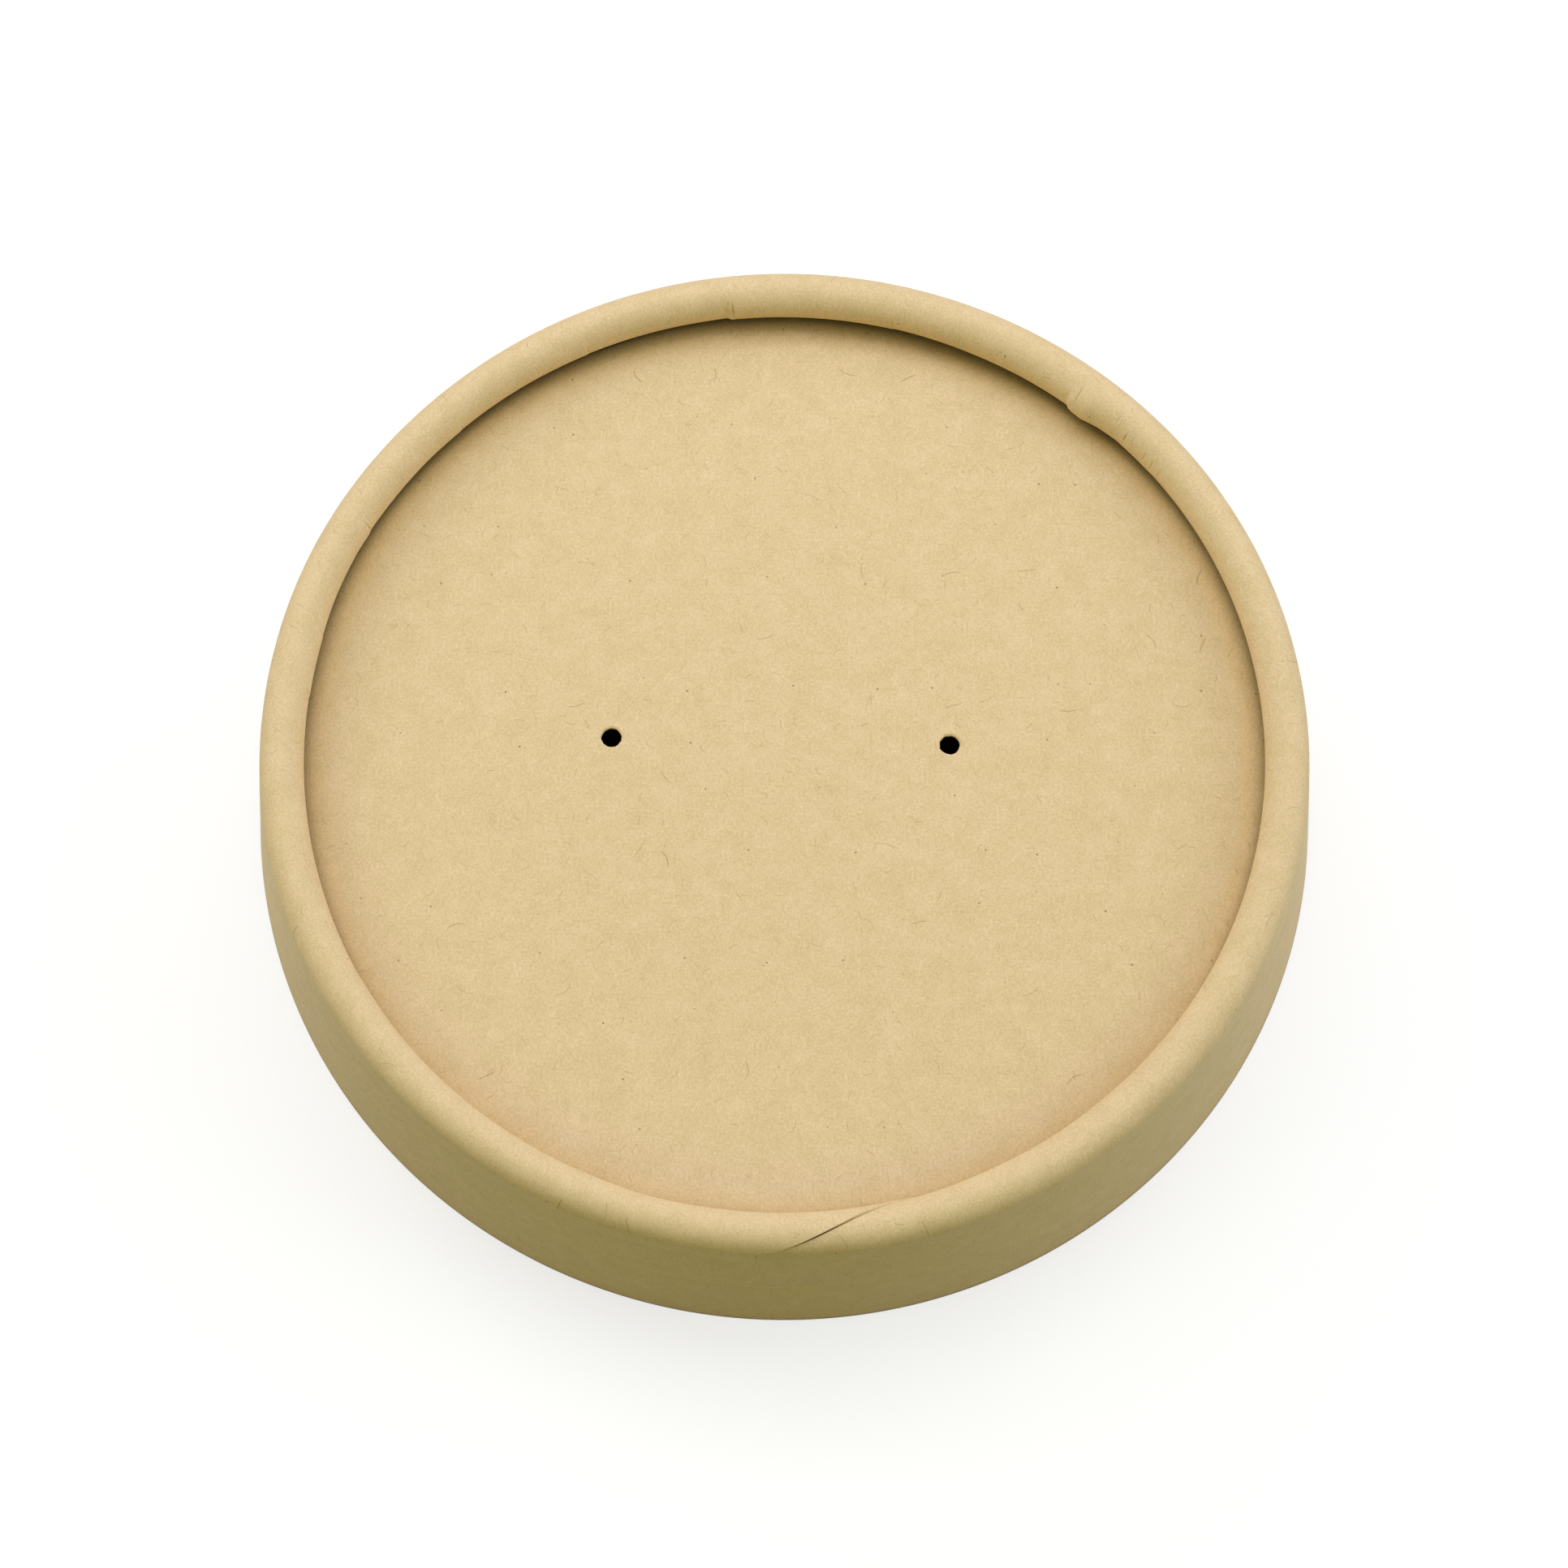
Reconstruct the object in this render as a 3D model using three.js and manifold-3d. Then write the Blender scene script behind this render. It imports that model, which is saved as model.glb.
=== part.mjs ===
// Vented paperboard lid for a round soup container.
// Millimetres, +Z up. The origin is the centre of the open edge, on the surface that it stands on.
// side_ring is the flaring wall, rolled inwards at the top into a round bead.
// vent_disc is the top, which lies under the bead with its edge turned down inside the wall.

import * as THREE from 'three';
import { mergeVertices } from 'three/addons/utils/BufferGeometryUtils.js';
import Module from 'manifold-3d';

const wasm = await Module();
wasm.setup();

// Board
const boardThickness = 0.45;
const boardColour = 0xdcc497;
const boardRoughness = 0.85;

// Ring: diameters are over the outside, heights add up from the open edge
const rimDiameter = 117; // outside of the bead
const wallFlare = 3; // how far the open edge stands out past the bead
const skirtDepth = 10; // single wall below the flange
const flangeDepth = 6.75; // turned-down edge of the disc, up to the disc's top face
const discGap = 0.4; // between the disc and the underside of the bead
const rollDiameter = 4.85; // bead across its section
const rollEndGap = 1.2; // from the board's rolled end to the wall

// Crease pressed into the wall where the flange behind it ends
const creaseDepth = 0.12;
const creaseWidth = 1.6;

// Seam where the strip's ends lap: a step that leans along the roll and dies out round the rim
const seamAzimuth = THREE.MathUtils.degToRad(-92.5);
const seamLean = 0.1; // angle round the rim for each unit of angle round the roll
const seamStep = 0.25;
const seamFaceWidth = 0.15;
const seamLap = 14;

// Small pleats on the bead's inner side: width and depth are in millimetres
const pleats = [
  { azimuth: THREE.MathUtils.degToRad(47), width: 11, depth: 0.55 },
  { azimuth: THREE.MathUtils.degToRad(62), width: 16, depth: 0.3 },
  { azimuth: THREE.MathUtils.degToRad(76), width: 12, depth: 0.25 },
  { azimuth: THREE.MathUtils.degToRad(96), width: 8, depth: 0.15 },
  { azimuth: THREE.MathUtils.degToRad(172), width: 10, depth: 0.15 },
];
const pleatCentre = THREE.MathUtils.degToRad(165); // round the roll, from the outside over the crest
const pleatReach = THREE.MathUtils.degToRad(55);

// Disc
const glueLine = 0.15; // between the flange and the wall
const innerBendRadius = 0.35; // inside of the fold between disc and flange
const ventDiameter = 2.3;
const ventSpacing = 38.1;
const ventTurn = THREE.MathUtils.degToRad(-1.14);
const ventCentre = new THREE.Vector2(-0.44, 0.79);

// Fineness of the curves
const ringStations = 108;
const rollSegments = 16;
const rollInsideSegments = 10;
const discSegments = 108;
const bendSegments = 3;
const ventSegments = 24;

// Sizes that follow
const rollRadius = rollDiameter / 2;
const rimRadius = rimDiameter / 2;
const openEdgeRadius = rimRadius + wallFlare;
const discTop = skirtDepth + flangeDepth;
const rollCentreRadius = rimRadius - rollRadius;
const rollCentreHeight = discTop + discGap + rollRadius;

// The wall is a straight line that ends tangent to the roll, so its lean from upright follows
const wallRun = openEdgeRadius - rollCentreRadius;
const tangentTurn = Math.acos(rollRadius / Math.hypot(wallRun, rollCentreHeight));
const wallLean = tangentTurn - Math.atan2(rollCentreHeight, wallRun);
const rollSweep = 2 * Math.PI - Math.acos((rollRadius - boardThickness - rollEndGap) / rollRadius);
const tangentHeight = rollCentreHeight + rollRadius * Math.sin(wallLean);

// Radius of the wall's outer face at a height, less a depth measured square to that face
function wallRadius(height, depth = 0) {
  return openEdgeRadius - height * Math.tan(wallLean) - depth / Math.cos(wallLean);
}

// Smooth rise from 0 to 1
function ease(share) {
  return THREE.MathUtils.smoothstep(share, 0, 1);
}

// Section of the ring, once round: each point is on the wall (height) or on the roll (angle),
// at a depth below the board's outer face
function ringSection() {
  const section = [];
  const wall = (height, depth) => section.push({ height, depth, angle: wallLean });
  const roll = (angle, depth) => section.push({ height: tangentHeight, depth, angle, onRoll: true });
  wall(0, 0);
  wall(skirtDepth - creaseWidth / 2, 0);
  wall(skirtDepth, creaseDepth);
  wall(skirtDepth + creaseWidth / 2, 0);
  wall(discTop, 0);
  for (let i = 0; i <= rollSegments; i += 1) {
    roll(wallLean + (rollSweep * i) / rollSegments, 0);
  }
  for (let i = rollInsideSegments; i >= 0; i -= 1) {
    roll(wallLean + (rollSweep * i) / rollInsideSegments, boardThickness);
  }
  wall(discTop, boardThickness);
  wall(0, boardThickness);
  return section;
}

// How far the under ply is pressed in beside the seam: full at the seam, none a lap further on,
// and none on the wall from the disc's top down
function seamDip(turn, height) {
  const roundRim = (turn * rimRadius) / seamLap;
  const upWall = (height - discTop) / (rollCentreHeight - discTop);
  return seamStep * (1 - ease(roundRim)) * ease(upWall);
}

// How far the pleats push the board out of the roll's round section
function pleatRise(azimuth, angle) {
  const across = Math.abs(angle - pleatCentre) / pleatReach;
  let rise = 0;
  for (const pleat of pleats) {
    const apart = Math.atan2(Math.sin(azimuth - pleat.azimuth), Math.cos(azimuth - pleat.azimuth));
    const along = (Math.abs(apart) * rollCentreRadius * 2) / pleat.width;
    rise = Math.max(rise, pleat.depth * (1 - ease(along)) * (1 - ease(across)));
  }
  return rise;
}

// One point of the section at a turn round the rim, counted from the seam
function ringPoint(point, turn) {
  const azimuth = seamAzimuth + turn + seamLean * (point.angle - wallLean);
  const inset = point.depth + seamDip(turn, point.onRoll ? rollCentreHeight : point.height);
  let radius = wallRadius(point.height, inset);
  let height = point.height;
  if (point.onRoll) {
    const reach = rollRadius - inset + pleatRise(azimuth, point.angle);
    radius = rollCentreRadius + reach * Math.cos(point.angle);
    height = rollCentreHeight + reach * Math.sin(point.angle);
  }
  return [radius * Math.cos(azimuth), radius * Math.sin(azimuth), height];
}

// The section carried once round the rim and closed on itself across the seam
function sideRingGeometry() {
  const section = ringSection();
  const positions = [];
  const faces = [];
  const seamFace = seamFaceWidth / rimRadius;
  for (let k = 0; k < ringStations; k += 1) {
    const turn = ((2 * Math.PI - seamFace) * k) / (ringStations - 1);
    section.forEach((point) => positions.push(...ringPoint(point, turn)));
    for (let j = 0; j < section.length; j += 1) {
      const here = k * section.length;
      const next = ((k + 1) % ringStations) * section.length;
      const up = (j + 1) % section.length;
      faces.push(here + j, next + j, next + up);
      faces.push(here + j, next + up, here + up);
    }
  }
  const geometry = new THREE.BufferGeometry();
  geometry.setAttribute('position', new THREE.Float32BufferAttribute(positions, 3));
  geometry.setIndex(faces);
  return geometry;
}

// Outline of disc and flange, from the axis under the disc round to the axis on its top
function discOutline() {
  const outerBend = innerBendRadius + boardThickness;
  const bendHeight = discTop - outerBend;
  const onFlange = (height, depth) => wallRadius(height, boardThickness + glueLine + depth);
  const bendRadiusAt = onFlange(bendHeight, outerBend);
  const outline = [new THREE.Vector2(0, discTop - boardThickness)];
  const bend = (radius, angle) => outline.push(
    new THREE.Vector2(bendRadiusAt + radius * Math.cos(angle), bendHeight + radius * Math.sin(angle)),
  );
  for (let i = 0; i <= bendSegments; i += 1) {
    bend(innerBendRadius, Math.PI / 2 + ((wallLean - Math.PI / 2) * i) / bendSegments);
  }
  outline.push(new THREE.Vector2(onFlange(skirtDepth, boardThickness), skirtDepth));
  outline.push(new THREE.Vector2(onFlange(skirtDepth, 0), skirtDepth));
  for (let i = 0; i <= bendSegments; i += 1) {
    bend(outerBend, wallLean + ((Math.PI / 2 - wallLean) * i) / bendSegments);
  }
  outline.push(new THREE.Vector2(0, discTop));
  return outline;
}

// Closed solid from a geometry: shared vertices merged, and triangles squeezed flat at the axis dropped
function solidOf(geometry) {
  const bare = geometry.clone();
  bare.deleteAttribute('normal');
  bare.deleteAttribute('uv');
  const merged = mergeVertices(bare);
  const index = Array.from(merged.index.array);
  const triangles = [];
  for (let i = 0; i < index.length; i += 3) {
    const [a, b, c] = index.slice(i, i + 3);
    if (a !== b && b !== c && c !== a) {
      triangles.push(a, b, c);
    }
  }
  return new wasm.Manifold(new wasm.Mesh({
    numProp: 3,
    vertProperties: new Float32Array(merged.attributes.position.array),
    triVerts: new Uint32Array(triangles),
  }));
}

function geometryOf(solid) {
  const { vertProperties, triVerts } = solid.getMesh();
  const geometry = new THREE.BufferGeometry();
  geometry.setAttribute('position', new THREE.BufferAttribute(vertProperties, 3));
  geometry.setIndex(new THREE.BufferAttribute(triVerts, 1));
  return geometry;
}

// A punch that goes through the board at one of the two vents, side -1 or 1
function ventPunch(side) {
  const reach = (side * ventSpacing) / 2;
  const length = 4 * boardThickness;
  const punch = new THREE.CylinderGeometry(ventDiameter / 2, ventDiameter / 2, length, ventSegments);
  punch.rotateX(Math.PI / 2);
  punch.translate(
    ventCentre.x + reach * Math.cos(ventTurn),
    ventCentre.y + reach * Math.sin(ventTurn),
    discTop - boardThickness / 2,
  );
  return solidOf(punch);
}

function ventDiscGeometry() {
  const blank = new THREE.LatheGeometry(discOutline(), discSegments);
  blank.rotateX(Math.PI / 2);
  return geometryOf(solidOf(blank).subtract(ventPunch(-1)).subtract(ventPunch(1)));
}

function boardPiece(name, geometry) {
  geometry.computeVertexNormals();
  const material = new THREE.MeshStandardMaterial({
    color: boardColour,
    roughness: boardRoughness,
    metalness: 0,
  });
  const piece = new THREE.Mesh(geometry, material);
  piece.name = name;
  return piece;
}

const lid = new THREE.Group();
lid.name = 'vented_lid';
lid.add(boardPiece('side_ring', sideRingGeometry()));
lid.add(boardPiece('vent_disc', ventDiscGeometry()));

export default lid;
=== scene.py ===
import math

import bmesh
import bpy
import numpy as np
from mathutils import Matrix, Vector


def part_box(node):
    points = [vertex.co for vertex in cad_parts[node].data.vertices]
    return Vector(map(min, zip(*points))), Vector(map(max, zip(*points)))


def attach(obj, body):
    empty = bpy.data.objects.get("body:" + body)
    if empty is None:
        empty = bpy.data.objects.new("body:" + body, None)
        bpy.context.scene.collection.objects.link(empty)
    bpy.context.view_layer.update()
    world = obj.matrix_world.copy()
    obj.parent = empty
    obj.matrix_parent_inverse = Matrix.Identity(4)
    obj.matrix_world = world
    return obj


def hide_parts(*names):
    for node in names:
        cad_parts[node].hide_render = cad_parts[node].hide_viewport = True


# Kraft paperboard lid of a soup container: a rolled and lapped side ring, and a vented disc glued inside it.

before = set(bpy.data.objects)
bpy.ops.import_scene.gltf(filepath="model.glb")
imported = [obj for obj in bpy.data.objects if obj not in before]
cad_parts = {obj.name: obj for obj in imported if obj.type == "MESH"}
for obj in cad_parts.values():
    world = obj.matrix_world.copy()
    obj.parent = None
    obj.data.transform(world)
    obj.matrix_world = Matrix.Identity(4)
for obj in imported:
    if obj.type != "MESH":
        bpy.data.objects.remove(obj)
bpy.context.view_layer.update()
mm = 0.001
print("frame loaded:", ", ".join(sorted(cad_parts)))

# what both pieces share, in mm: heights come from the solids, the rest are the board's own sizes
ringLow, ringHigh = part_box("side_ring")
discLow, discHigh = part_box("vent_disc")
lid = {
    "board": 0.45,                                    # thickness
    "openEdgeRadius": (ringHigh.x - ringLow.x) / 2 / mm,
    "rimRadius": 58.5,                                # outside of the bead
    "rollRadius": 2.425,
    "discGap": 0.4,                                   # from the disc up to the bead
    "discTop": discHigh.z / mm,
    "flangeEnd": discLow.z / mm,
    "glueLine": 0.15,
}
lid["rollCentre"] = (lid["rimRadius"] - lid["rollRadius"],
                     lid["discTop"] + lid["discGap"] + lid["rollRadius"])
wallRun = lid["openEdgeRadius"] - lid["rollCentre"][0]
# the wall is the straight line from the open edge that touches the roll's circle
lid["wallLean"] = (math.acos(lid["rollRadius"] / math.hypot(wallRun, lid["rollCentre"][1]))
                   - math.atan2(lid["rollCentre"][1], wallRun))
tangentHeight = lid["rollCentre"][1] + lid["rollRadius"] * math.sin(lid["wallLean"])
lid["wallLength"] = tangentHeight / math.cos(lid["wallLean"])


def ease(share):
    # smooth rise from 0 to 1, level at both ends
    share = np.clip(share, 0, 1)
    return share * share * (3 - 2 * share)


def bell(distance, width):
    # 1 at the middle, 0 from half a width away
    return 1 - ease(2 * np.abs(distance) / width)


def turnApart(azimuth, place):
    # signed angle between two azimuths in degrees, from -180 to 180
    return (azimuth - place + 180) % 360 - 180


def ripple(position, length, count, seed):
    # closed noise round a loop: cosines of whole-number frequencies near count, with seeded phases
    draw = np.random.default_rng(seed)
    waves = draw.integers(int(count * 0.6), int(count * 1.5) + 1, 7)
    phases = draw.uniform(0, 2 * np.pi, 7)
    angle = 2 * np.pi * position[..., None] / length
    return np.cos(waves * angle + phases).mean(-1) * 1.6


def pieceFromSheets(name, sheets):
    # each sheet is a grid of points (rows x columns x 3, mm) with its own grid of uv (mm);
    # quads join neighbours, and the sheets are welded where their edges meet
    points, faces, corners, start = [], [], [], 0
    for grid, uv in sheets:
        rows, columns = grid.shape[:2]
        index = start + np.arange(rows * columns).reshape(rows, columns)
        quads = np.stack([index[:-1, :-1], index[:-1, 1:], index[1:, 1:], index[1:, :-1]], -1).reshape(-1, 4)
        points.append(grid.reshape(-1, 3))
        faces.append(quads)
        corners.append(uv.reshape(-1, 2)[quads.ravel() - start])
        start += rows * columns
    mesh = bpy.data.meshes.new(name)
    mesh.from_pydata((np.concatenate(points) * mm).tolist(), [], np.concatenate(faces).tolist())
    uvValues = np.concatenate(corners).astype(np.float32).ravel()
    mesh.uv_layers.new(name="board").data.foreach_set("uv", uvValues)
    shell = bmesh.new()
    shell.from_mesh(mesh)
    bmesh.ops.remove_doubles(shell, verts=shell.verts, dist=1e-7)
    bmesh.ops.dissolve_degenerate(shell, dist=1e-8, edges=shell.edges)
    openEdges = sum(1 for edge in shell.edges if not edge.is_manifold)
    print(f"{name}: {len(shell.faces)} faces, volume {shell.calc_volume(signed=True) / mm ** 3:.0f} mm3,",
          f"{openEdges} open edges")
    shell.to_mesh(mesh)
    shell.free()
    mesh.shade_smooth()
    piece = bpy.data.objects.new(name, mesh)
    bpy.context.scene.collection.objects.link(piece)
    return piece


# side ring: one strip of board carried round, in mm and degrees
ring = {
    "stations": 1040, "wallSteps": (8, 22, 9), "creaseBand": (8.0, 13.6), "rollSteps": 32,
    "innerWallSteps": 4, "insideSteps": 12,
    "rollEndGap": 1.2,          # from the board's rolled end to the wall
    "edgeRound": 0.06,
    "seamAzimuth": -93.0, "seamLean": 0.1, "leanFade": 100,
    "seamStep": 0.2, "seamFace": 0.05, "seamLap": 14, "seamCrowd": 2.0, "seamStations": 14,
    "seamGroove": 0.22, "seamGrooveWidth": 0.7,
    "waistDepth": 0.10, "waistHeight": 18.0, "waistWidth": 5.0,
}

# how far the bead's inner side stands in towards the middle, by azimuth: gathers in the rolled board
gathers = [
    (0, 0), (38.0, 0.02), (38.7, 0.08), (44.6, 0.14), (45.3, 0.22), (47.2, 0.42), (48.3, 0.62),
    (49.6, 0.88), (51.0, 0.84), (51.6, 0.72), (52.1, 0.44), (58, 0.4), (65, 0.38), (70, 0.3), (76, 0.2),
    (76.6, 0.28), (90, 0.24), (95.5, 0.22), (96.8, 0.2), (97.3, -0.06), (100, 0), (115.3, -0.05),
    (115.8, 0.02), (134.1, -0.1), (134.6, -0.03), (140, -0.14), (147, -0.22), (151.4, -0.32),
    (152.1, -0.2), (155, -0.28), (162, -0.2), (166.3, -0.06), (166.8, 0.02), (170, 0.08), (174.2, 0.12),
    (174.7, 0.05), (180, 0.07), (200, -0.05), (210.9, -0.14), (211.4, -0.07), (230, -0.1), (250, -0.14),
    (255, -0.24), (260, -0.14), (300, 0), (310, 0.08), (330, 0.03),
]

# short creases across the bead: azimuth, roll angle of the middle, length, depth
ticks = [
    (96.6, 160, 2.0, 0.24), (51.0, 138, 1.8, 0.15), (45.2, 125, 1.3, 0.13), (43.2, 155, 1.2, 0.2),
    (151.8, 165, 2.6, 0.2), (76.4, 175, 1.5, 0.15), (115.5, 175, 1.2, 0.12), (134.3, 175, 1.2, 0.12),
    (166.6, 172, 1.4, 0.12), (174.5, 172, 1.4, 0.12), (39.8, 158, 1.6, 0.1), (38.4, 162, 1.4, 0.12),
    (37.0, 166, 1.2, 0.09), (211.2, 165, 1.5, 0.12),
]
tickWidth = 0.32

# faint creases pressed along the wall: azimuths and heights of both ends, depth, width
creases = [
    {"azimuths": (-112, -62), "heights": (10.6, 9.7), "depth": 0.07, "width": 1.0},
    {"azimuths": (-70, -38), "heights": (10.2, 11.6), "depth": 0.04, "width": 0.9},
    {"azimuths": (-52, -22), "heights": (9.6, 6.4), "depth": 0.05, "width": 1.3},
    {"azimuths": (-135, -104), "heights": (8.4, 9.6), "depth": 0.04, "width": 0.9},
    {"azimuths": (-156, -128), "heights": (12.6, 8.2), "depth": 0.05, "width": 1.1},
    {"azimuths": (-122, -90), "heights": (13.4, 13.0), "depth": 0.03, "width": 0.8},
]


def ringProfile(along, depth):
    # section of the strip: the straight wall for the first stretch, then the roll's circle;
    # returns radius, height and the outward normal's angle
    lean, radius = lid["wallLean"], lid["rollRadius"]
    rolled = np.maximum(along - lid["wallLength"], 0)
    angle = lean + rolled / radius
    onWall = along < lid["wallLength"]
    wallR = lid["openEdgeRadius"] - along * math.sin(lean)
    wallZ = along * math.cos(lean)
    rollR = lid["rollCentre"][0] + radius * np.cos(angle)
    rollZ = lid["rollCentre"][1] + radius * np.sin(angle)
    r = np.where(onWall, wallR, rollR) - depth * np.cos(angle)
    z = np.where(onWall, wallZ, rollZ) - depth * np.sin(angle)
    return r, z, angle


def ringRelief(azimuth, fromSeam, z, angle):
    # how far the board stands off the true profile, along its normal
    onRoll = angle > lid["wallLean"] + 0.01
    degrees = np.degrees(angle)
    relief = np.zeros_like(azimuth)
    # seam: the under ply dips beside the step and comes back a lap further on
    upWall = ease((z - lid["rollCentre"][1] + 0.6) / 0.8)
    upWall = np.where(degrees > 40, 1, upWall)
    relief -= upWall * ring["seamStep"] * (1 - ease(fromSeam / ring["seamLap"]))
    relief -= upWall * ring["seamGroove"] * bell(fromSeam, ring["seamGrooveWidth"])
    # gathers: the whole inner side stands in or out, which fades over the crest and under the roll
    gatherPlaces, rise = np.array(gathers).T
    standsIn = np.interp(azimuth % 360, gatherPlaces, rise, period=360)
    relief += standsIn * bell(degrees - 185, 170)
    for place, middle, length, depth in ticks:
        across = np.radians(turnApart(azimuth, place)) * lid["rollCentre"][0]
        along = np.radians(degrees - middle) * lid["rollRadius"]
        relief -= depth * bell(across + 0.12 * along, tickWidth) * bell(along, 1.5 * length)
    # wrinkles: the roll's inner side is gathered, so it ripples round the rim
    gathered = bell(degrees - 160, 150) * (0.3 + bell(turnApart(azimuth, 36), 40))
    roundRim = np.radians(azimuth % 360) * lid["rimRadius"]
    whole = 2 * np.pi * lid["rimRadius"]
    swell = 0.6 + 0.4 * ripple(roundRim, whole, 9, 5)
    relief += gathered * (0.012 * ripple(roundRim, whole, 150, 3) * swell)
    relief += np.where(onRoll, 0.04, 0.03) * ripple(roundRim, whole, 7, 11)
    # wall: a slight waist under the bead and the creases
    waist = bell(z - ring["waistHeight"], ring["waistWidth"])
    relief -= np.where(onRoll, 0, ring["waistDepth"] * waist)
    for crease in creases:
        begin, end = crease["azimuths"]
        share = turnApart(azimuth, (begin + end) / 2) / (end - begin) + 0.5
        level = crease["heights"][0] + share * (crease["heights"][1] - crease["heights"][0])
        fade = ease(share / 0.25) * ease((1 - share) / 0.25)
        # a ridge stands out just below each crease
        ridge = bell(z - level + crease["width"] * 0.7, crease["width"])
        pressed = bell(z - level, crease["width"]) - 0.45 * ridge
        relief -= np.where(onRoll, 0, crease["depth"] * fade * pressed)
    return relief


def ringStations(whole):
    # stations round the rim: they crowd at the seam's step and where the gathers and creases are
    near = ring["seamFace"] / 2 + ring["seamCrowd"] * np.linspace(0, 1, ring["seamStations"]) ** 2
    fine = np.linspace(near[-1], whole - near[-1], 6000)
    azimuth = ring["seamAzimuth"] + np.degrees(fine / lid["rimRadius"])
    crowd = 1 + 2.5 * bell(turnApart(azimuth, 44), 30)
    for place in [tick[0] for tick in ticks]:
        crowd = np.maximum(crowd, 1 + 5 * bell(turnApart(azimuth, place), 3))
    passed = np.concatenate([[0], np.cumsum((crowd[1:] + crowd[:-1]) / 2)])
    count = ring["stations"] - 2 * ring["seamStations"]
    even = np.interp(np.linspace(0, passed[-1], count), passed, fine)[1:-1]
    return np.concatenate([near, even, whole - near[::-1], whole + near[:1]])


def sideRing():
    whole = 2 * np.pi * lid["rimRadius"]
    turn = ringStations(whole)
    # once round the section: up the outer face, round the free end, back down the inner face
    lean, radius, board, wallLength = lid["wallLean"], lid["rollRadius"], lid["board"], lid["wallLength"]
    sweep = 2 * math.pi - math.acos((radius - board - ring["rollEndGap"]) / radius)
    stripLength = wallLength + sweep * radius
    corner = ring["edgeRound"]
    # the wall's steps are short where its creases are
    marks = [corner, *ring["creaseBand"], wallLength]
    wallSteps = [np.linspace(low, high, count, endpoint=False)
                 for low, high, count in zip(marks, marks[1:], ring["wallSteps"])]
    outer = np.concatenate([*wallSteps,
                            np.linspace(wallLength, stripLength - corner, ring["rollSteps"])])
    inner = np.concatenate([np.linspace(corner, wallLength, ring["innerWallSteps"], endpoint=False),
                            np.linspace(wallLength, stripLength - corner, ring["insideSteps"])])[::-1]
    along = np.concatenate([outer, [stripLength, stripLength], inner, [0, 0], outer[:1]])
    depth = np.concatenate([0 * outer, [corner, board - corner], 0 * inner + board,
                            [board - corner, corner], [0]])
    r, z, angle = ringProfile(along, depth)
    # the mesh leans with the seam, and stands upright from leanFade away
    turnGrid = np.broadcast_to(turn[None, :], (len(along), len(turn)))
    seamAway = np.abs((turnGrid + whole / 2) % whole - whole / 2)
    leaning = ring["seamLean"] * (1 - ease(seamAway / ring["leanFade"]))
    leanedTurn = turnGrid / lid["rimRadius"] + leaning * (angle[:, None] - lean)
    azimuth = ring["seamAzimuth"] + np.degrees(leanedTurn)
    fromSeam = turnGrid % whole
    relief = ringRelief(azimuth, fromSeam, z[:, None] + 0 * azimuth, angle[:, None] + 0 * azimuth)
    # the open edge stays on the table
    relief *= ease(along / 3)[:, None]
    reachR = r[:, None] + relief * np.cos(angle)[:, None]
    reachZ = np.maximum(z[:, None] + relief * np.sin(angle)[:, None], 0)
    around = np.radians(azimuth)
    grid = np.stack([reachR * np.cos(around), reachR * np.sin(around), reachZ], -1)
    section = along + np.where(depth > board / 2, 80, 0)
    uv = np.stack([around * lid["rimRadius"], np.broadcast_to(section[:, None], turnGrid.shape)], -1)
    return pieceFromSheets("side_ring_board", [(grid, uv)])


# vented disc, in mm and degrees
disc = {
    "innerBend": 0.35, "bendSteps": 7, "flangeSteps": 8,
    "ventRadius": 1.15, "ventSpacing": 38.1, "ventCentre": (-0.44, 0.79), "ventTurn": -1.14,
    "ventRagged": 0.045, "ventLip": 0.03, "ventRound": 0.10, "ventWallSteps": 4,
    "lineSteps": 110, "arcSteps": 340, "raySteps": 26,
    "buckle": 0.06,               # how far the disc is out of flat
    "droop": 0.3, "droopFrom": 42,    # the disc rounds down towards its fold
}


def discHeight(x, y):
    # slow waves that die out towards the fold, less a droop towards it
    r = np.hypot(x, y)
    rim = 1 - ease(r / 57)
    wave = np.cos(x / 17 + 0.6) * np.cos(y / 21 - 0.4) + 0.5 * np.cos(x / 9 + y / 13 + 1.1)
    down = np.clip((r - disc["droopFrom"]) / (57.5 - disc["droopFrom"]), 0, 1) ** 2
    return lid["discTop"] + disc["buckle"] * wave * rim - disc["droop"] * down


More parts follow.
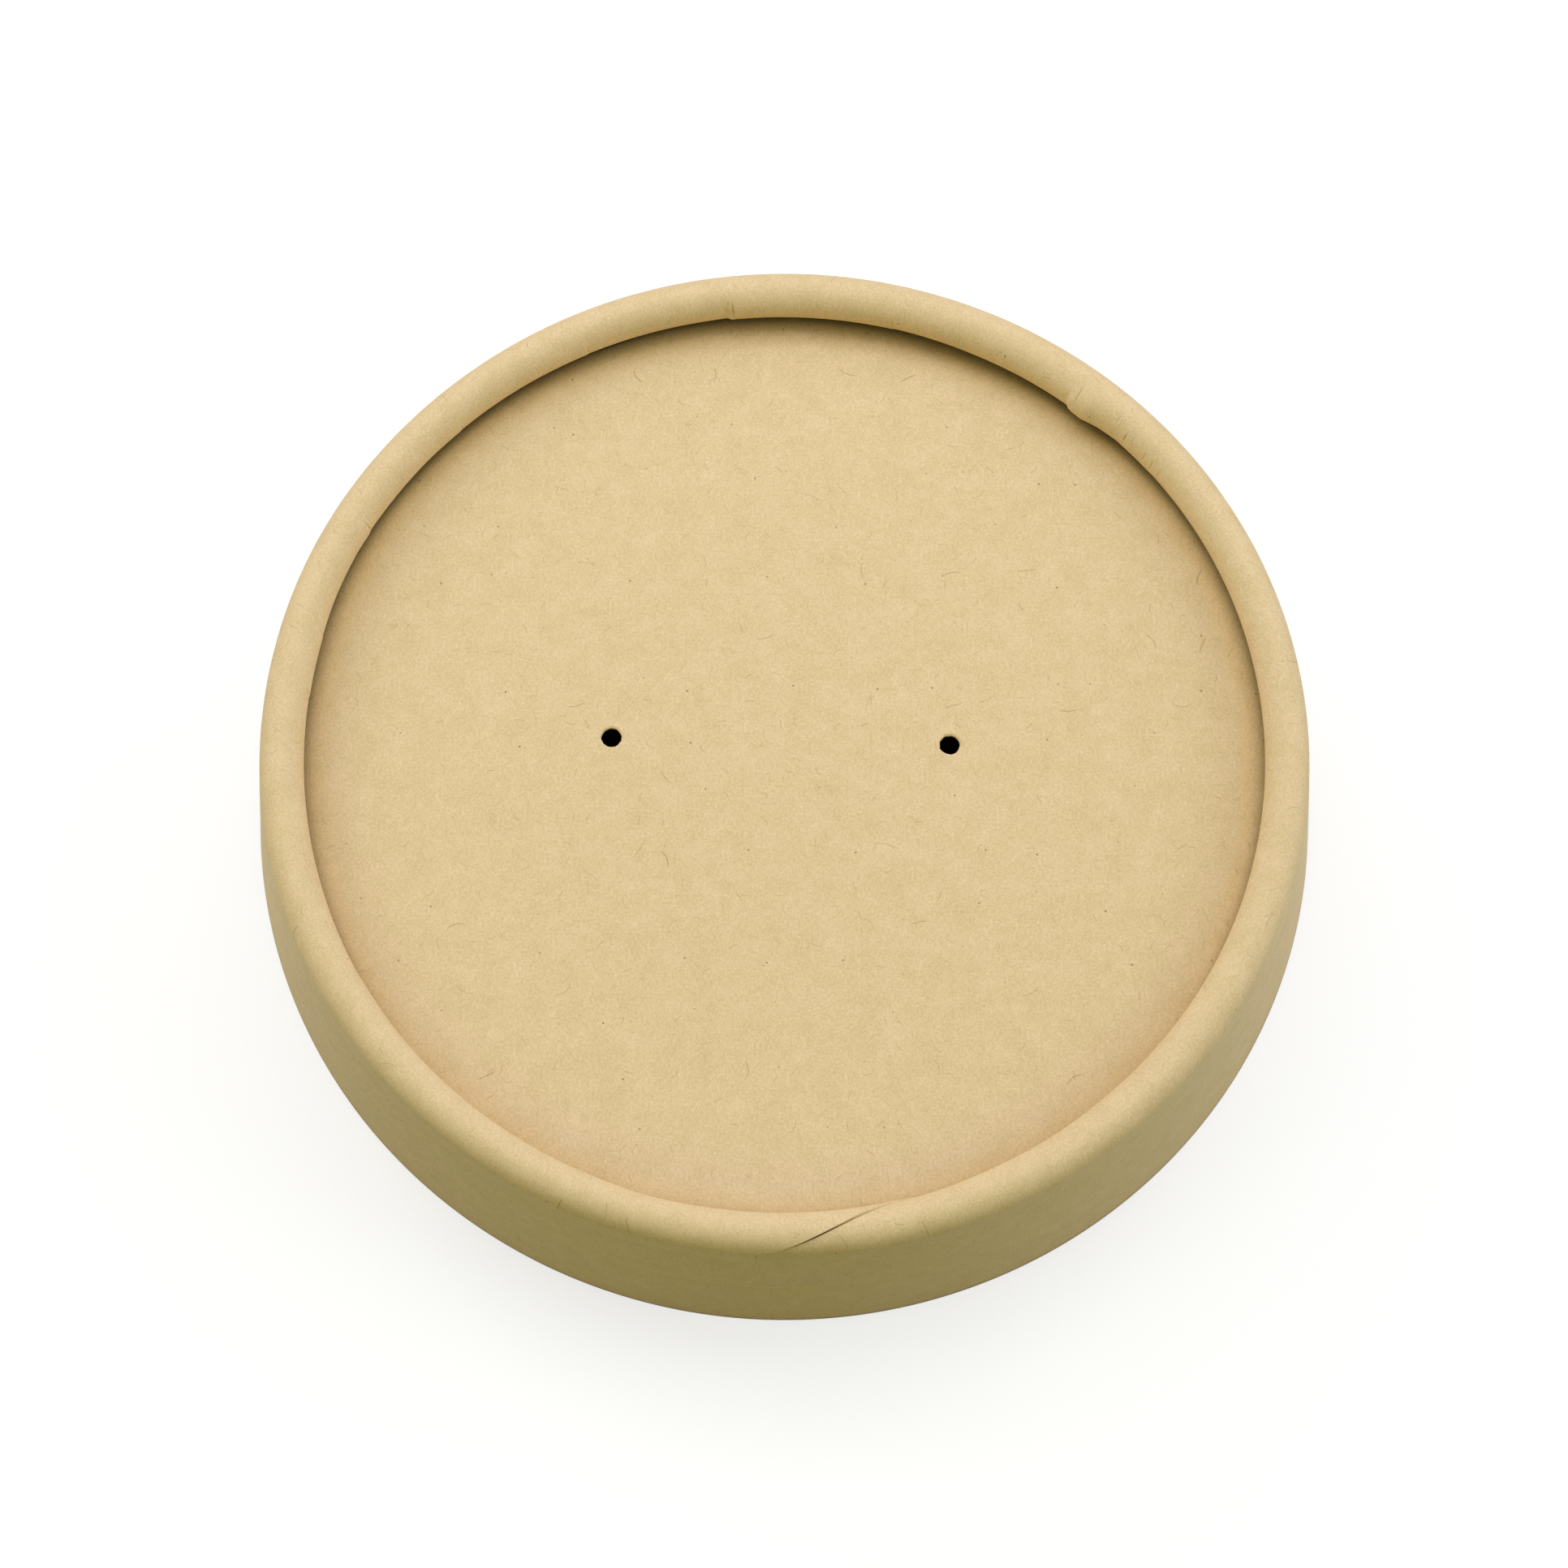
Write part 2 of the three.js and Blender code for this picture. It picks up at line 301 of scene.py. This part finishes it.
def ventDisc():
    board, lean = lid["board"], lid["wallLean"]
    outerBend = disc["innerBend"] + board
    bendHeight = lid["discTop"] - outerBend
    # the fold's centre sits so that the flange lies a glue line inside the wall
    flatRadius = (lid["openEdgeRadius"] - bendHeight * math.tan(lean)
                  - (board + lid["glueLine"] + outerBend) / math.cos(lean))
    turn = math.radians(disc["ventTurn"])
    alongVents = np.array([math.cos(turn), math.sin(turn)])
    acrossVents = np.array([-math.sin(turn), math.cos(turn)])
    centre = np.array(disc["ventCentre"])
    # the line between the vents meets the flat's circle at two corners
    middle = centre @ acrossVents
    reach = math.sqrt(flatRadius ** 2 - centre @ centre + middle ** 2)
    cornerHigh = centre + (reach - middle) * acrossVents
    cornerLow = centre + (-reach - middle) * acrossVents
    sheets, rim = [], []
    for side in (1, -1):
        vent = centre + side * disc["ventSpacing"] / 2 * alongVents
        # boundary of this half: down the dividing line, then back round the circle
        share = np.linspace(0, 1, disc["lineSteps"])[:, None]
        line = cornerHigh * (1 - share) + cornerLow * share
        first = math.atan2(cornerLow[1], cornerLow[0])
        last = math.atan2(cornerHigh[1], cornerHigh[0])
        last += -2 * math.pi if side < 0 and last > first else 0
        arcAngle = np.linspace(first, last, disc["arcSteps"])
        arc = flatRadius * np.stack([np.cos(arcAngle), np.sin(arcAngle)], -1)
        boundary = np.concatenate([line, arc[1:]])
        rim.append(arcAngle)
        # rays run from the ragged vent edge out to the boundary, closer together near the vent
        ray = boundary - vent
        length = np.hypot(ray[:, 0], ray[:, 1])
        bearing = np.arctan2(ray[:, 1], ray[:, 0])
        loop = bearing * disc["ventRadius"]
        whole = 2 * np.pi * disc["ventRadius"]
        ragged = disc["ventRadius"] + disc["ventRagged"] * (ripple(loop, whole, 6, 21 + side)
                                                           + 0.5 * ripple(loop, whole, 19, 31 + side))
        ragged[-1] = ragged[0]
        share = np.linspace(0, 1, disc["raySteps"]) ** 3.2
        distance = ragged + (length - ragged) * share[:, None]
        unit = ray / length[:, None]
        flat = vent + distance[..., None] * unit
        fromEdge = distance - ragged
        lip = (disc["ventLip"] * bell(fromEdge - 0.25, 0.6)
               - disc["ventRound"] * (1 - ease(fromEdge / (1.6 * disc["ventRound"]))))
        level = discHeight(flat[..., 0], flat[..., 1])
        top = level + lip
        under = level - board - 0.5 * disc["ventLip"] * bell(fromEdge - 0.1, 0.5)
        topGrid = np.concatenate([flat, top[..., None]], -1)
        underGrid = np.concatenate([flat, under[..., None]], -1)
        if side > 0:
            sheets += [(topGrid[::-1], flat[::-1]), (underGrid, flat + 150)]
        else:
            sheets += [(topGrid, flat), (underGrid[::-1], flat[::-1] + 150)]
        # the punched wall joins the two faces
        share = np.linspace(0, 1, disc["ventWallSteps"])[:, None, None]
        wall = topGrid[0] * (1 - share) + underGrid[0] * share
        wallUv = np.broadcast_to(flat[0], wall.shape[:2] + (2,)) + share * 0.4
        sheets += [(wall, wallUv)] if side > 0 else [(wall[::-1], wallUv[::-1])]
    # fold, flange and its cut end, carried round the flat's circle
    bendDown = np.linspace(np.pi / 2, lean, disc["bendSteps"])
    flange = np.linspace(0, 1, disc["flangeSteps"])[1:]
    outR = flatRadius + outerBend * np.cos(bendDown)
    outZ = bendHeight + outerBend * np.sin(bendDown)
    inR = flatRadius + disc["innerBend"] * np.cos(bendDown)
    inZ = bendHeight + disc["innerBend"] * np.sin(bendDown)
    drop = outZ[-1] - lid["flangeEnd"]
    downOutR = outR[-1] + flange * drop * math.tan(lean)
    downOutZ = outZ[-1] - flange * drop
    downInR = inR[-1] + flange * (inZ[-1] - lid["flangeEnd"]) * math.tan(lean)
    downInZ = inZ[-1] - flange * (inZ[-1] - lid["flangeEnd"])
    sectionR = np.concatenate([outR, downOutR, downInR[::-1], inR[::-1]])
    sectionZ = np.concatenate([outZ, downOutZ, downInZ[::-1], inZ[::-1]])
    step = np.hypot(np.diff(sectionR), np.diff(sectionZ))
    developed = flatRadius + np.concatenate([[0], np.cumsum(step)])
    for side, arcAngle in zip((1, -1), rim):
        direction = np.stack([np.cos(arcAngle), np.sin(arcAngle)], -1)
        heights = np.broadcast_to(sectionZ[:, None, None], (len(sectionZ), len(arcAngle), 1))
        band = np.concatenate([sectionR[:, None, None] * direction, heights], -1)
        # the fold droops with the flat, whose own edge height closes the weld
        edge = discHeight(*(flatRadius * direction.T))
        upFlange = ease((sectionZ - lid["flangeEnd"]) / (bendHeight - lid["flangeEnd"]))
        band[..., 2] += upFlange[:, None] * (edge - lid["discTop"])
        band[0, :, 2] = edge
        band[-1, :, 2] = edge - board
        bandUv = developed[:, None, None] * direction
        sheets += [(band[::-1], bandUv[::-1])] if side > 0 else [(band, bandUv)]
    return pieceFromSheets("vent_disc_board", sheets)


def linear(hexColour):
    # sRGB hex to linear rgba
    value = np.array([int(hexColour[i:i + 2], 16) for i in (1, 3, 5)]) / 255
    value = np.where(value <= 0.04045, value / 12.92, ((value + 0.055) / 1.055) ** 2.4)
    return (*value.tolist(), 1.0)


def addNode(tree, kind, settings=None, inputs=None, output=0):
    # adds a node and returns one of its outputs; an input's value is plain, or the socket that feeds it
    node = tree.nodes.new(kind)
    for name, value in (settings or {}).items():
        setattr(node, name, value)
    for name, value in (inputs or {}).items():
        if isinstance(value, bpy.types.NodeSocket):
            tree.links.new(value, node.inputs[name])
        else:
            node.inputs[name].default_value = value
    return node.outputs[output] if len(node.outputs) else None


def emptyMaterial(name):
    material = bpy.data.materials.new(name)
    material.use_nodes = True
    material.node_tree.nodes.clear()
    return material, material.node_tree


# kraft board: sizes in mm; each pattern shifts the board from its deep to its light colour
kraft = {
    "deep": "#D1B788", "light": "#EBD1AC",
    "grainSize": 0.3, "grainShare": 1.05, "feltSize": 1.0, "feltShare": 0.65,
    "cloudSize": 3.5, "cloudShare": 0.55,
    # painted shade in narrow gaps, and a painted browner bounce tint beside them, both driven by ambient
    # occlusion
    "gapReach": 4.0, "gapDark": 0.28, "gapClear": 0.42, "gapWarm": (0.3, 0.95),
    "gapGreen": 0.88, "gapBlue": 0.62,
    "roughness": 0.62, "relief": 0.012, "specularLevel": 0.38,
}

# the seam's dark brown line: partly the cut edge's brown core, partly painted shade of the step; the line's
# reach round the rim, in mm
cutEdgeAndShade = {"before": 0.1, "after": 0.55, "soft": 0.14, "strength": 0.7, "colour": "#6E5128"}

# fibres that show one by one, in mm; share is the share of cells that have one
fibres = [
    {"shift": (0, 0, 0), "cell": 2.6, "width": 0.13, "length": 1.5, "bend": 1.0,
     "share": 0.6, "strength": 0.35, "colour": "#F2DFB8"},
    {"shift": (37.3, 11.9, 0), "cell": 2.9, "width": 0.12, "length": 1.3, "bend": 1.2,
     "share": 0.6, "strength": 0.42, "colour": "#A3834C"},
    {"shift": (-19.4, 64.3, 0), "cell": 8.5, "width": 0.14, "length": 2.4, "bend": 0.9,
     "share": 0.4, "strength": 0.6, "colour": "#957440"},
]
specks = {"cell": 6.5, "core": 0.07, "edge": 0.15, "share": 0.55, "strength": 0.85, "colour": "#6B4E28"}


def fibreLayer(tree, place, fibre):
    # a bent fibre in some cells of a Voronoi pattern: the cell's own draws turn it, bend it and fade it
    moved = addNode(tree, "ShaderNodeVectorMath", {"operation": "ADD"}, {0: place, 1: fibre["shift"]})
    draws = addNode(tree, "ShaderNodeTexVoronoi", {"voronoi_dimensions": "2D"},
                    {"Vector": moved, "Scale": 1 / fibre["cell"]}, "Color")
    draw = addNode(tree, "ShaderNodeSeparateColor", None, {0: draws}).node.outputs
    local = addNode(tree, "ShaderNodeVectorMath", {"operation": "SUBTRACT"},
                    {0: moved, 1: draws.node.outputs["Position"]})
    angle = addNode(tree, "ShaderNodeMath", {"operation": "MULTIPLY"}, {0: draw[0], 1: 2 * math.pi})
    turned = addNode(tree, "ShaderNodeVectorRotate", {"rotation_type": "Z_AXIS"},
                     {"Vector": local, "Angle": angle})
    x, y = addNode(tree, "ShaderNodeSeparateXYZ", None, {0: turned}).node.outputs[:2]
    # the fibre is the line where y is the bend times x squared
    most = fibre["bend"] / fibre["length"]
    bend = addNode(tree, "ShaderNodeMath", {"operation": "MULTIPLY_ADD"},
                   {0: draw[2], 1: 2 * most, 2: -most})
    square = addNode(tree, "ShaderNodeMath", {"operation": "MULTIPLY"}, {0: x, 1: x})
    offLine = addNode(tree, "ShaderNodeMath", {"operation": "MULTIPLY_ADD"}, {0: square, 1: bend, 2: y})
    offLine = addNode(tree, "ShaderNodeMath", {"operation": "ABSOLUTE"}, {0: offLine})
    thin = addNode(tree, "ShaderNodeMapRange", {"interpolation_type": "SMOOTHSTEP"},
                   {"Value": offLine, "From Min": 0.8 * fibre["width"],
                    "From Max": 0.1 * fibre["width"]})
    offMiddle = addNode(tree, "ShaderNodeMath", {"operation": "ABSOLUTE"}, {0: x})
    short = addNode(tree, "ShaderNodeMapRange", {"interpolation_type": "SMOOTHSTEP"},
                    {"Value": offMiddle, "From Min": 0.5 * fibre["length"],
                     "From Max": 0.3 * fibre["length"]})
    shown = addNode(tree, "ShaderNodeMapRange", None,
                    {"Value": draw[1], "From Min": fibre["share"], "From Max": 0.0,
                     "To Max": fibre["strength"]})
    whole = addNode(tree, "ShaderNodeMath", {"operation": "MULTIPLY"}, {0: thin, 1: short})
    return addNode(tree, "ShaderNodeMath", {"operation": "MULTIPLY"}, {0: whole, 1: shown})


def kraftBoard():
    # unbleached kraft paperboard, calendered and thinly coated, which gives the eye a half-matt surface
    # with fine felt, faint clouds, loose fibres, a few shives, a dark seam line, and painted shade in its
    # narrow gaps
    material, tree = emptyMaterial("kraft_paperboard_coated")
    place = addNode(tree, "ShaderNodeUVMap", {"uv_map": "board"})
    # real felt is finer than a pixel: the grain is drawn about twice as coarse, so that it shows
    grain = addNode(tree, "ShaderNodeTexNoise", {"noise_dimensions": "2D"},
                    {"Vector": place, "Scale": 1 / kraft["grainSize"], "Detail": 1.0, "Roughness": 0.8})
    felt = addNode(tree, "ShaderNodeTexNoise", {"noise_dimensions": "2D"},
                   {"Vector": place, "Scale": 1 / kraft["feltSize"], "Detail": 3.0, "Roughness": 0.6,
                    "Distortion": 0.8})
    cloud = addNode(tree, "ShaderNodeTexNoise", {"noise_dimensions": "2D"},
                    {"Vector": place, "Scale": 1 / kraft["cloudSize"], "Detail": 3.0, "Roughness": 0.6})
    middle = 0.5 * (1 - kraft["grainShare"] - kraft["feltShare"] - kraft["cloudShare"])
    light = addNode(tree, "ShaderNodeMath", {"operation": "MULTIPLY_ADD"},
                    {0: grain, 1: kraft["grainShare"], 2: middle})
    light = addNode(tree, "ShaderNodeMath", {"operation": "MULTIPLY_ADD"},
                    {0: felt, 1: kraft["feltShare"], 2: light})
    light = addNode(tree, "ShaderNodeMath", {"operation": "MULTIPLY_ADD"},
                    {0: cloud, 1: kraft["cloudShare"], 2: light})
    colour = addNode(tree, "ShaderNodeMix", {"data_type": "RGBA"},
                     {0: light, 6: linear(kraft["deep"]), 7: linear(kraft["light"])}, 2)
    for fibre in fibres:
        colour = addNode(tree, "ShaderNodeMix", {"data_type": "RGBA"},
                         {0: fibreLayer(tree, place, fibre), 6: colour, 7: linear(fibre["colour"])}, 2)
    draws = addNode(tree, "ShaderNodeTexVoronoi", {"voronoi_dimensions": "2D"},
                    {"Vector": place, "Scale": 1 / specks["cell"]}, "Color")
    draw = addNode(tree, "ShaderNodeSeparateColor", None, {0: draws}).node.outputs
    dot = addNode(tree, "ShaderNodeMapRange", {"interpolation_type": "SMOOTHSTEP"},
                  {"Value": draws.node.outputs["Distance"], "From Min": specks["edge"] / specks["cell"],
                   "From Max": specks["core"] / specks["cell"]})
    shown = addNode(tree, "ShaderNodeMapRange", None,
                    {"Value": draw[1], "From Min": specks["share"], "From Max": 0.0,
                     "To Max": specks["strength"]})
    dot = addNode(tree, "ShaderNodeMath", {"operation": "MULTIPLY"}, {0: dot, 1: shown})
    colour = addNode(tree, "ShaderNodeMix", {"data_type": "RGBA"},
                     {0: dot, 6: colour, 7: linear(specks["colour"])}, 2)
    # the seam is a straight line in the strip's own uv
    u, v = addNode(tree, "ShaderNodeSeparateXYZ", None, {0: place}).node.outputs[:2]
    slope = ring["seamLean"] * lid["rimRadius"] / lid["rollRadius"]
    foot = math.radians(ring["seamAzimuth"]) * lid["rimRadius"] - slope * lid["wallLength"]
    middle = foot + (cutEdgeAndShade["after"] - cutEdgeAndShade["before"]) / 2
    line = addNode(tree, "ShaderNodeMath", {"operation": "MULTIPLY_ADD"}, {0: v, 1: slope, 2: middle})
    off = addNode(tree, "ShaderNodeMath", {"operation": "SUBTRACT"}, {0: u, 1: line})
    off = addNode(tree, "ShaderNodeMath", {"operation": "ABSOLUTE"}, {0: off})
    half = (cutEdgeAndShade["after"] + cutEdgeAndShade["before"]) / 2
    onLine = addNode(tree, "ShaderNodeMapRange", {"interpolation_type": "SMOOTHSTEP"},
                     {"Value": off, "From Min": half + cutEdgeAndShade["soft"], "From Max": half - cutEdgeAndShade["soft"],
                      "To Max": cutEdgeAndShade["strength"]})
    onRoll = addNode(tree, "ShaderNodeMapRange", {"interpolation_type": "SMOOTHSTEP"},
                     {"Value": v, "From Min": lid["wallLength"] - 1.8, "From Max": lid["wallLength"] + 1.2})
    onLine = addNode(tree, "ShaderNodeMath", {"operation": "MULTIPLY"}, {0: onLine, 1: onRoll})
    # painted shade of the seam's step, laid over the cut edge's own brown core
    colour = addNode(tree, "ShaderNodeMix", {"data_type": "RGBA"},
                     {0: onLine, 6: colour, 7: linear(cutEdgeAndShade["colour"])}, 2)
    # painted shade: narrow gaps look nearly black in the real lid, so the board's colour is darkened there
    # from ambient occlusion;
    # this painted shade stays under any light
    clear = addNode(tree, "ShaderNodeAmbientOcclusion", {"samples": 6},
                    {"Distance": kraft["gapReach"] * mm}, "AO")
    paintedGapShade = addNode(tree, "ShaderNodeMapRange", {"interpolation_type": "SMOOTHSTEP"},
                  {"Value": clear, "From Min": kraft["gapDark"], "From Max": kraft["gapClear"],
                   "To Min": 0.02})
    # painted bounce light: beside the gap the colour is made browner, standing in for light that has gone
    # from board to board
    start, end = kraft["gapWarm"]
    paintedBounceTint = []
    for least in (kraft["gapGreen"], kraft["gapBlue"]):
        warm = addNode(tree, "ShaderNodeMapRange", None,
                       {"Value": clear, "From Min": start, "From Max": end, "To Min": least})
        paintedBounceTint.append(addNode(tree, "ShaderNodeMath", {"operation": "MULTIPLY"}, {0: paintedGapShade, 1: warm}))
    shade = addNode(tree, "ShaderNodeCombineColor", None, {0: paintedGapShade, 1: paintedBounceTint[0], 2: paintedBounceTint[1]})
    colour = addNode(tree, "ShaderNodeVectorMath", {"operation": "MULTIPLY"}, {0: colour, 1: shade})
    bump = addNode(tree, "ShaderNodeBump", None,
                   {"Strength": 0.6, "Distance": kraft["relief"] * mm, "Height": light})
    shader = addNode(tree, "ShaderNodeBsdfPrincipled", None,
                     {"Base Color": colour, "Roughness": kraft["roughness"],
                      "Specular IOR Level": kraft["specularLevel"], "Normal": bump})
    addNode(tree, "ShaderNodeOutputMaterial", None, {"Surface": shader})
    return material


# camera at the photo's viewpoint: fitted to the rim, the open edge and the vents
view = {"elevation": 69.81, "distance": 342.5, "aside": -0.035, "forward": -5.415, "roll": 0.145,
        "focalPixels": 3800, "framePixels": 1932}


def addCamera():
    tilt, roll = math.radians(view["elevation"]), math.radians(view["roll"])
    back = Vector((0, -math.cos(tilt), math.sin(tilt)))
    right = Vector((1, 0, 0))
    up = back.cross(right)
    across = right * math.cos(roll) + up * math.sin(roll)
    upright = up * math.cos(roll) - right * math.sin(roll)
    aim = Vector((view["aside"], view["forward"], lid["rollCentre"][1]))
    eye = (aim + back * view["distance"]) * mm
    data = bpy.data.cameras.new("camera")
    data.sensor_width = 36
    data.lens = view["focalPixels"] * data.sensor_width / view["framePixels"]
    data.clip_start, data.clip_end = 0.01, 20
    camera = bpy.data.objects.new("camera", data)
    camera.matrix_world = Matrix((across, upright, back)).transposed().to_4x4()
    camera.matrix_world.translation = eye
    bpy.context.scene.collection.objects.link(camera)
    bpy.context.scene.camera = camera


# studio: soft boxes aimed at the lid, in metres and watts; the front one is yellow, for the wall's olive tone
lamps = {
    "aboveBack": {"place": (0.0, 0.27, 0.55), "size": (0.7, 0.35), "power": 1.79, "colour": (1, 1, 1)},
    "backRight": {"place": (0.45, 0.4, 0.35), "size": (0.4, 0.4), "power": 0.68, "colour": (1, 1, 1)},
    "backLeft": {"place": (-0.45, 0.4, 0.35), "size": (0.4, 0.4), "power": 1.55, "colour": (1, 1, 1)},
    "left": {"place": (-0.68, -0.1, 0.42), "size": (0.5, 0.5), "power": 1.2, "colour": (1, 1, 0.8)},
    "right": {"place": (0.7, 0.0, 0.35), "size": (0.5, 0.5), "power": 2.32, "colour": (0.93, 0.98, 1)},
    "above": {"place": (0.0, 0.0, 0.9), "size": (0.8, 0.8), "power": 0.4, "colour": (1, 1, 1)},
    "front": {"place": (0.0, -0.75, 0.5), "size": (0.9, 0.4), "power": 1.02, "colour": (1, 1, 0.05)},
}
# the floor bounces a warm light on to the wall; to the camera it is white where lit, and shaded by the lid
studio = {"worldLight": (0.07, 0.073, 0.04), "bounce": (0.2, 0.21, 0.05), "floorWhite": 0.42,
          "glowNear": 0.69, "glowFar": 0.97, "glowReach": (0.12, 0.6), "glowColour": (0.96, 0.96, 1, 1),
          "floorSize": 4.0}


def addLamps():
    for name, lamp in lamps.items():
        data = bpy.data.lights.new(name, "AREA")
        data.shape = "RECTANGLE"
        data.size, data.size_y = lamp["size"]
        data.energy = lamp["power"]
        data.color = lamp["colour"]
        lamp["object"] = bpy.data.objects.new(name, data)
        lamp["object"].location = lamp["place"]
        aim = Vector((0, 0, 0.015)) - Vector(lamp["place"])
        lamp["object"].rotation_euler = aim.to_track_quat("-Z", "Y").to_euler()
        bpy.context.scene.collection.objects.link(lamp["object"])


def seenDirectly(tree):
    # 1 for rays that show the background: from the camera, mirrored or through glass
    path = addNode(tree, "ShaderNodeLightPath").node.outputs
    either = addNode(tree, "ShaderNodeMath", {"operation": "MAXIMUM"},
                     {0: path["Is Camera Ray"], 1: path["Is Glossy Ray"]})
    return addNode(tree, "ShaderNodeMath", {"operation": "MAXIMUM"},
                   {0: either, 1: path["Is Transmission Ray"]})


def addSurroundings():
    world = bpy.data.worlds.new("studio")
    world.use_nodes = True
    tree = world.node_tree
    tree.nodes.clear()
    colour = addNode(tree, "ShaderNodeMix", {"data_type": "RGBA"},
                     {0: seenDirectly(tree), 6: (*studio["worldLight"], 1), 7: (1, 1, 1, 1)}, 2)
    background = addNode(tree, "ShaderNodeBackground", None, {"Color": colour, "Strength": 1.0})
    addNode(tree, "ShaderNodeOutputWorld", None, {"Surface": background})
    bpy.context.scene.world = world
    material, tree = emptyMaterial("floor_white")
    white = studio["floorWhite"]
    bounce = addNode(tree, "ShaderNodeBsdfDiffuse", None, {"Color": (*studio["bounce"], 1)})
    shaded = addNode(tree, "ShaderNodeBsdfDiffuse", None, {"Color": (white, white, white, 1)})
    # less glow near the lid, so that its shadow shows, and more where the lamps no longer reach, in metres
    place = addNode(tree, "ShaderNodeTexCoord", None, None, "Object")
    away = addNode(tree, "ShaderNodeVectorMath", {"operation": "LENGTH"}, {0: place}, "Value")
    start, end = studio["glowReach"]
    strength = addNode(tree, "ShaderNodeMapRange", None,
                       {"Value": away, "From Min": start, "From Max": end,
                        "To Min": studio["glowNear"], "To Max": studio["glowFar"]})
    glow = addNode(tree, "ShaderNodeEmission", None, {"Color": studio["glowColour"], "Strength": strength})
    # no glow on the floor that the lid covers, so that the vents look dark
    outside = addNode(tree, "ShaderNodeMath", {"operation": "GREATER_THAN"},
                      {0: away, 1: (lid["openEdgeRadius"] - 1) * mm})
    glow = addNode(tree, "ShaderNodeMixShader", None, {0: outside, 2: glow})
    seen = addNode(tree, "ShaderNodeAddShader", None, {0: shaded, 1: glow})
    shader = addNode(tree, "ShaderNodeMixShader", None, {0: seenDirectly(tree), 1: bounce, 2: seen})
    addNode(tree, "ShaderNodeOutputMaterial", None, {"Surface": shader})
    half = studio["floorSize"] / 2
    mesh = bpy.data.meshes.new("floor")
    corners = [(-half, -half, 0), (half, -half, 0), (half, half, 0), (-half, half, 0)]
    mesh.from_pydata(corners, [], [(0, 1, 2, 3)])
    mesh.materials.append(material)
    floor = bpy.data.objects.new("floor", mesh)
    bpy.context.scene.collection.objects.link(floor)


addCamera()
print("camera placed")

board = kraftBoard()
for makePiece, node in ((sideRing, "side_ring"), (ventDisc, "vent_disc")):
    piece = makePiece()
    piece.data.materials.append(board)
    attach(piece, "root")
    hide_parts(node)
print("pieces made")

addLamps()
addSurroundings()
bpy.context.scene.view_settings.view_transform = "Standard"
print("studio lit")
